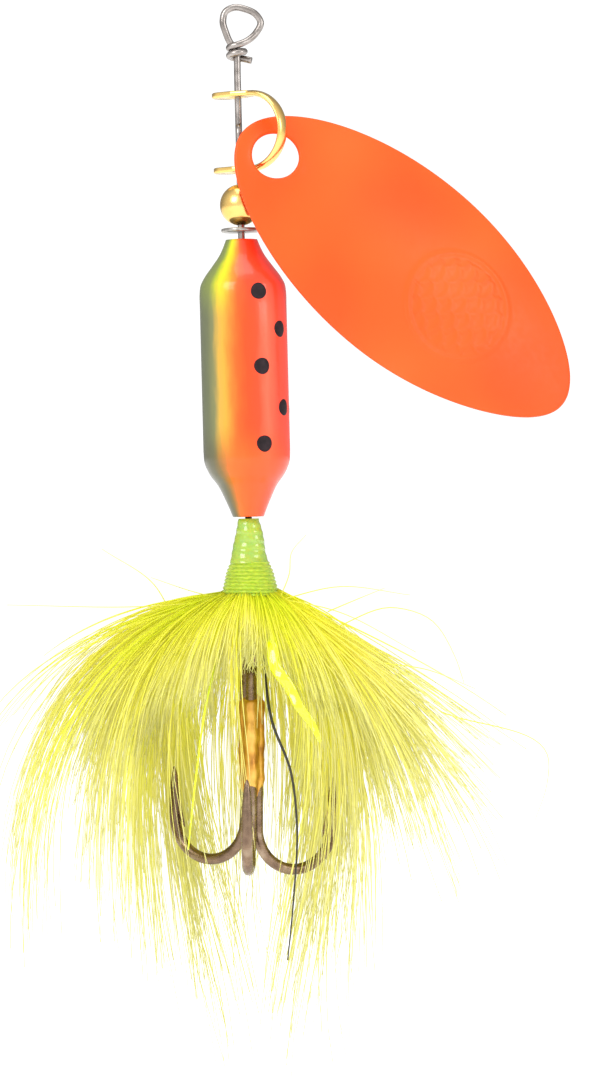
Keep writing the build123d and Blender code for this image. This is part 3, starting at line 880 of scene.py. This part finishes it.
def build_tail(settings):
    """The tail: four groups of barbs, loose strays, two tinsel strips and a dark quill."""
    dyed = dyed_barbs_with_painted_glow(settings.dye)
    groups = (
        ("tail_left", LEFT, 3, ("hackle_left_outer", "hackle_left", "hackle_inner_left")),
        ("tail_right", RIGHT, 5, ("hackle_inner_right", "hackle_right", "hackle_right_outer")),
        ("tail_front", FRONT, 7, ("hackle_front_left", "hackle_front", "hackle_front_right")),
        ("tail_back", BACK, 9, ("hackle_back_right", "hackle_inner_back", "hackle_back_left")),
    )
    for name, locks, seed, nodes in groups:
        points, radius, along, shade = barbs(locks, seed, settings.density, settings.barb)
        values = {"along": np.repeat(along, 3, axis=1), "shade": np.repeat(shade, 3, axis=1)}
        hang(solid(name, [strands(points, radius)], dyed, values), "hackle", *nodes)
    stations = 24
    share = np.linspace(0, 1, stations)[None, :]
    points = np.stack([curve(stray, stations) for stray in STRAYS])
    radius = np.full((len(STRAYS), 1), 0.055) * (1 - 0.6 * share)
    values = {
        "along": np.repeat(0.35 + 0.5 * share + 0 * radius, 3, axis=1),
        "shade": np.full((len(STRAYS), 3 * stations), 0.5),
    }
    piece = solid("tail_strays", [strands(points, radius)], dyed, values)
    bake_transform(piece)
    shiny = film()
    stations = 60
    share = np.linspace(0, 1, stations)
    right = curve(TINSEL_RIGHT, stations)
    right += np.stack((0.1 * np.sin(23 * share), 0.16 * np.sin(31 * share), 0 * share), axis=-1)
    wide = 0.46 * np.sqrt(np.clip(1.05 - share**3, 0, 1)) * (0.45 + 0.55 * np.clip(share * 3, 0, 1))
    strip = solid("tinsel_strip_right", [tube(right, wide, (0, 1, 0.3), 14, 0.22)], shiny)
    hang(strip, "tinsel", "tinsel_right")
    slim = 0.12 * (1 - 0.5 * share)
    left = curve(TINSEL_LEFT, stations)
    strip = solid("tinsel_strip_left", [tube(left, slim, (0, 1, 0.3), 12, 0.4)], shiny)
    hang(strip, "tinsel", "tinsel_left")
    quill = curve(QUILL, stations)
    thin = 0.15 * (1 - 0.65 * share)
    stem = solid("dark_stem", [tube(quill, thin, (0, 1, 0.2), 10)], quill_finish())
    hang(stem, "dark_quill", "dark_quill")


# The bends of the shaft wire, each from the straight part to the end of its loop.
LINE_LOOP = (
    (0, 0, -8.0), (0, 0, -4.0), (0, 0, -2.4), (-0.04, 0, -1.9), (-0.48, 0, -1.4), (-0.84, 0, -0.55),
    (-1.06, 0, 0.4), (-0.86, 0, 1.12), (-0.15, 0, 1.48), (0.75, 0, 1.33), (1.6, 0, 0.88),
    (1.98, 0, 0.2), (1.6, -0.06, -0.6), (0.9, -0.35, -1.25),
)
LOW_LOOP = (
    (0, 0, -40.0), (0, 0, -45.2), (0, 0, -46.2), (-0.45, 0, -46.95), (-0.98, 0, -47.85),
    (-1.12, 0, -48.7), (-0.8, 0, -49.45), (0, 0, -49.75), (0.8, 0, -49.45), (1.12, 0, -48.7),
    (1.02, 0, -47.85), (0.75, -0.18, -46.95), (0.4, -0.5, -46.35),
)


def coiled(first, turns, top, pitch, count):
    """Points of a coil round the shaft at 0.61 mm from its axis, turning clockwise from the first angle."""
    t = np.linspace(0, 1, count)
    angle = math.radians(first) - 2 * math.pi * turns * t
    return np.stack((0.61 * np.cos(angle), 0.61 * np.sin(angle), top - pitch * turns * t), axis=-1)


def build_wire(settings):
    """The shaft wire: straight through the fittings, with a bend at each end.

    At the top it is bent into a line tie and wound one and a half turns on itself, and its end stands off.
    At the foot it is bent into the loop that holds the treble, turned with it, and wound back up.
    """
    cut_end = ((0.5, 0.62, -2.6), (1.15, 0.5, -2.78))
    upper = np.concatenate((LINE_LOOP, coiled(-90, 1.5, -1.62, 0.62, 14), cut_end))
    x, y, z = np.array(LOW_LOOP).T
    c, s = math.cos(TURN), math.sin(TURN)
    loop = np.stack((x * c - y * s, x * s + y * c, z), axis=-1)
    lower = np.concatenate((loop, coiled(-62, 1.6, -45.95, -0.6, 14)))
    straight = np.linspace(-7.9, -40.1, 40)[:, None] * UP
    shells = [
        tube(curve(upper, 260), WIRE, (0, 1, 0), 20),
        tube(straight, WIRE, (0, 1, 0), 20),
        tube(curve(lower, 220), WIRE, (-s, c, 0), 20),
    ]
    piece = solid("bent_wire", shells, drawn_steel())
    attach(piece, "shaft")
    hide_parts("wire_shaft")


CLEVIS_MID, CLEVIS_BEND = -8.57, 3.03
BEAD_MID, BEAD_RADIUS = -14.45, 1.67


def ear(height, outward, aside):
    """One ear of the clevis, as rays from its bore: a plate with eased edges.

    Its outline is round behind the shaft, and narrows to the strap in front.
    """
    half, set_back = 1.05, 1.3  # half its width, and how far behind the shaft the round is centred
    angle = circle(96)
    c, s = np.cos(angle), np.abs(np.sin(angle)) + 1e-6
    round_end = -set_back * c + np.sqrt(np.maximum((set_back * c) ** 2 - set_back**2 + half**2, 0))
    back = np.where(half / s * c > -set_back, half / s, round_end)
    front = np.minimum(half / (s + 0.38 * np.maximum(c, 0)), 1.3 / np.maximum(c, 1e-6))
    reach = np.where(c < 0, back, front)
    w = np.array((0.0, 0.5, 1.0, 1.0, 1.0, 1.0, 0.5, 0.0))[:, None]
    inset = np.array((0.0, 0.0, 0.07, 0.0, 0.0, 0.07, 0.0, 0.0))[:, None]
    rise = np.array((0.21, 0.21, 0.21, 0.14, -0.14, -0.21, -0.21, -0.21))[:, None]
    radius = BORE + w * (reach - BORE) - inset
    flat = (radius * c)[..., None] * outward + (radius * np.sin(angle))[..., None] * aside
    return flat + (rise + height)[..., None] * UP, grid_faces(len(w), len(angle), True), NO_TRIANGLES


def build_metal(settings):
    """The clevis, the drilled bead and the washer.

    The clevis is a rounded strap bent to a half circle, with a bored ear at each end.
    """
    turn = math.radians(-35)
    outward = np.array((math.cos(turn), math.sin(turn), 0.0))
    aside = np.array((-math.sin(turn), math.cos(turn), 0.0))
    a = np.linspace(-math.pi / 2, math.pi / 2, 64)
    x = np.concatenate(((1.05,), 1.25 + CLEVIS_BEND * np.cos(a), (1.05,)))
    z = np.concatenate(((-CLEVIS_BEND,), CLEVIS_BEND * np.sin(a), (CLEVIS_BEND,))) + CLEVIS_MID
    strap = x[:, None] * outward + z[:, None] * UP
    shells = [
        tube(strap, 0.25, aside, 28, 2.3),
        ear(CLEVIS_MID + CLEVIS_BEND, outward, aside),
        ear(CLEVIS_MID - CLEVIS_BEND, outward, aside),
    ]
    brass = bright_brass()
    piece = solid("clevis_strap", shells, brass)
    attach(piece, "clevis")
    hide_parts("clevis")
    mouth = math.asin(0.4 / BEAD_RADIUS)
    a = np.linspace(mouth, math.pi - mouth, 56)
    ball = np.stack((BEAD_RADIUS * np.sin(a), BEAD_MID + BEAD_RADIUS * np.cos(a)), axis=-1)
    profile = np.concatenate((((BORE, ball[0, 1] - 0.05),), ball, ((BORE, ball[-1, 1] + 0.05),)))
    piece = solid("drilled_bead", [lathe(profile, 96)], brass)
    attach(piece, "bead")
    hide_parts("bead")
    profile = (
        (BORE, -16.37), (0.42, -16.35), (1.5, -16.35), (1.59, -16.38), (1.62, -16.44),
        (1.62, -16.56), (1.59, -16.62), (1.5, -16.65), (0.42, -16.65), (BORE, -16.63),
    )
    piece = solid("flat_washer", [lathe(profile, 96)], dull_nickel())
    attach(piece, "washer")
    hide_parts("washer")


def soft_box(name, place_mm, size_mm, watts):
    """An area light of that size at that place, facing the middle of the lure."""
    light = bpy.data.lights.new(name, "AREA")
    light.shape, light.size, light.energy = "SQUARE", size_mm * MM, watts
    lamp = bpy.data.objects.new(name, light)
    lamp.location = [c * MM for c in place_mm]
    x, y, z = MIDDLE - np.array(place_mm)
    lamp.rotation_euler = (math.atan2(math.hypot(x, y), -z), 0.0, math.atan2(-x, y))
    bpy.context.scene.collection.objects.link(lamp)


def build_stage(settings):
    """White card floor, a world that is white to the eye and softer as light, soft boxes and a camera.

    The world gives most light from in front, at -Y, and fades smoothly towards the back.
    """
    half, floor_top = 1500.0, -106.0
    corners = np.array(((-half, -half), (half, -half), (half, half), (-half, half)))
    points = np.concatenate([np.column_stack((corners, np.full(4, z))) for z in (floor_top - 6, floor_top)])
    faces = np.concatenate((grid_faces(2, 4), ((3, 2, 1, 0), (4, 5, 6, 7))))
    floor = solid("floor", [(points, faces, NO_TRIANGLES)], floor_card())
    floor.data.polygons.foreach_set("use_smooth", np.zeros(len(faces), bool))
    world = bpy.data.worlds.new("studio")
    world.use_nodes = True
    tree = world.node_tree
    seen = add(tree, "ShaderNodeLightPath").outputs["Is Camera Ray"]
    direction = add(tree, "ShaderNodeTexCoord").outputs["Object"]
    towards = add(tree, "ShaderNodeSeparateXYZ", {0: direction}).outputs["Y"]
    soft = shares(tree, towards, -0.5, 0.8, 1.3 * settings.fill, 0.45 * settings.fill)
    strength = add(tree, "ShaderNodeMix", {0: seen, 2: soft, 3: 1.1}, data_type="FLOAT").outputs[0]
    background = tree.nodes["Background"]
    background.inputs["Color"].default_value = (1, 1, 1, 1)
    tree.links.new(strength, background.inputs["Strength"])
    scene = bpy.context.scene
    scene.world = world
    scene.view_settings.view_transform = "Standard"
    soft_box("key_left", (-330, -420, 260), 300, settings.key)
    soft_box("key_right", (460, -330, 120), 240, settings.key * 0.5)
    soft_box("top", (20, -60, 620), 420, settings.key)
    data = bpy.data.cameras.new("camera")
    data.lens, data.sensor_width, data.clip_start, data.clip_end = 135, 36, 0.01, 20
    data.dof.use_dof = False
    camera = bpy.data.objects.new("camera", data)
    camera.location = (0.00419, -0.3266, -0.04158)
    camera.rotation_mode = "XYZ"
    camera.rotation_euler = (math.pi / 2, math.atan(0.025), 0)  # the lure hangs 1 in 40 off the upright
    scene.collection.objects.link(camera)
    scene.camera = camera


class SpinnerSettings(bpy.types.PropertyGroup):
    """Sizes, colours and strengths that the operators read."""

    sheet: bpy.props.FloatProperty(
        name="Blade sheet", description="Thickness of the blade", default=0.0004, unit="LENGTH"
    )
    relief: bpy.props.FloatProperty(
        name="Relief", description="Height of the pressed pattern", default=0.00014, unit="LENGTH"
    )
    dot: bpy.props.FloatProperty(
        name="Dot", description="Diameter of an ink dot", default=0.00132, unit="LENGTH"
    )
    pitch: bpy.props.FloatProperty(
        name="Thread pitch", description="From one turn to the next", default=0.3e-3, unit="LENGTH"
    )
    barb: bpy.props.FloatProperty(
        name="Barb width", description="Width of a barb at its root", default=0.00013, unit="LENGTH"
    )
    density: bpy.props.FloatProperty(
        name="Barb density", description="Share of the full count of barbs", default=1.0, subtype="FACTOR"
    )
    paint: bpy.props.FloatVectorProperty(
        name="Paint", description="Colour of the blade", size=4, default=colour("#fb5517"), subtype="COLOR"
    )
    thread: bpy.props.FloatVectorProperty(
        name="Thread", description="Colour of thread", size=4, default=colour("#a6bd16"), subtype="COLOR"
    )
    dye: bpy.props.FloatVectorProperty(
        name="Dye", description="Colour of the barbs", size=4, default=colour("#eee868"), subtype="COLOR"
    )
    key: bpy.props.FloatProperty(
        name="Key light", description="Power of the main soft box", default=1.65, unit="POWER"
    )
    fill: bpy.props.FloatProperty(name="Fill", description="Strength of the world's light", default=0.85)


class SPINNER_OT_wire(bpy.types.Operator):
    """Build the bent shaft wire."""

    bl_idname = "spinner.wire"
    bl_label = "Shaft wire"

    def execute(self, context):
        build_wire(context.scene.spinner)
        return {"FINISHED"}


class SPINNER_OT_metal(bpy.types.Operator):
    """Build the clevis, bead and washer."""

    bl_idname = "spinner.metal"
    bl_label = "Metal fittings"

    def execute(self, context):
        build_metal(context.scene.spinner)
        return {"FINISHED"}


class SPINNER_OT_blade(bpy.types.Operator):
    """Build the painted blade."""

    bl_idname = "spinner.blade"
    bl_label = "Blade"

    def execute(self, context):
        build_blade(context.scene.spinner)
        return {"FINISHED"}


class SPINNER_OT_body(bpy.types.Operator):
    """Build the banded body and its dots."""

    bl_idname = "spinner.body"
    bl_label = "Body"

    def execute(self, context):
        build_body(context.scene.spinner)
        return {"FINISHED"}


class SPINNER_OT_binding(bpy.types.Operator):
    """Build the varnished head and the thread."""

    bl_idname = "spinner.binding"
    bl_label = "Binding"

    def execute(self, context):
        build_binding(context.scene.spinner)
        return {"FINISHED"}


class SPINNER_OT_hook(bpy.types.Operator):
    """Build the hook wires and the braze."""

    bl_idname = "spinner.hook"
    bl_label = "Treble hook"

    def execute(self, context):
        build_hook(context.scene.spinner)
        return {"FINISHED"}


class SPINNER_OT_tail(bpy.types.Operator):
    """Build the barbs, tinsel and quill."""

    bl_idname = "spinner.tail"
    bl_label = "Tail"

    def execute(self, context):
        build_tail(context.scene.spinner)
        return {"FINISHED"}


class SPINNER_OT_stage(bpy.types.Operator):
    """Build the floor, lights and camera."""

    bl_idname = "spinner.stage"
    bl_label = "Studio"

    def execute(self, context):
        build_stage(context.scene.spinner)
        return {"FINISHED"}


OPERATORS = (
    SPINNER_OT_wire,
    SPINNER_OT_metal,
    SPINNER_OT_blade,
    SPINNER_OT_body,
    SPINNER_OT_binding,
    SPINNER_OT_hook,
    SPINNER_OT_tail,
    SPINNER_OT_stage,
)


class SPINNER_PT_panel(bpy.types.Panel):
    """Lists the operators in the sidebar."""

    bl_idname = "SPINNER_PT_panel"
    bl_label = "Inline spinner"
    bl_space_type = "VIEW_3D"
    bl_region_type = "UI"
    bl_category = "Spinner"

    def draw(self, context):
        for kind in OPERATORS:
            self.layout.operator(kind.bl_idname)


CLASSES = (SpinnerSettings, *OPERATORS, SPINNER_PT_panel)


def register():
    """Registers the classes and hangs the settings on the scene."""
    for kind in CLASSES:
        bpy.utils.register_class(kind)
    bpy.types.Scene.spinner = bpy.props.PointerProperty(type=SpinnerSettings)


def unregister():
    """Takes back what register did."""
    del bpy.types.Scene.spinner
    for kind in reversed(CLASSES):
        bpy.utils.unregister_class(kind)


def main():
    """Builds everything in order."""
    register()
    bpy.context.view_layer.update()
    bpy.ops.spinner.wire()
    bpy.ops.spinner.metal()
    bpy.ops.spinner.blade()
    bpy.ops.spinner.body()
    bpy.ops.spinner.binding()
    bpy.ops.spinner.hook()
    bpy.ops.spinner.tail()
    bpy.ops.spinner.stage()


if __name__ == "__main__":
    main()
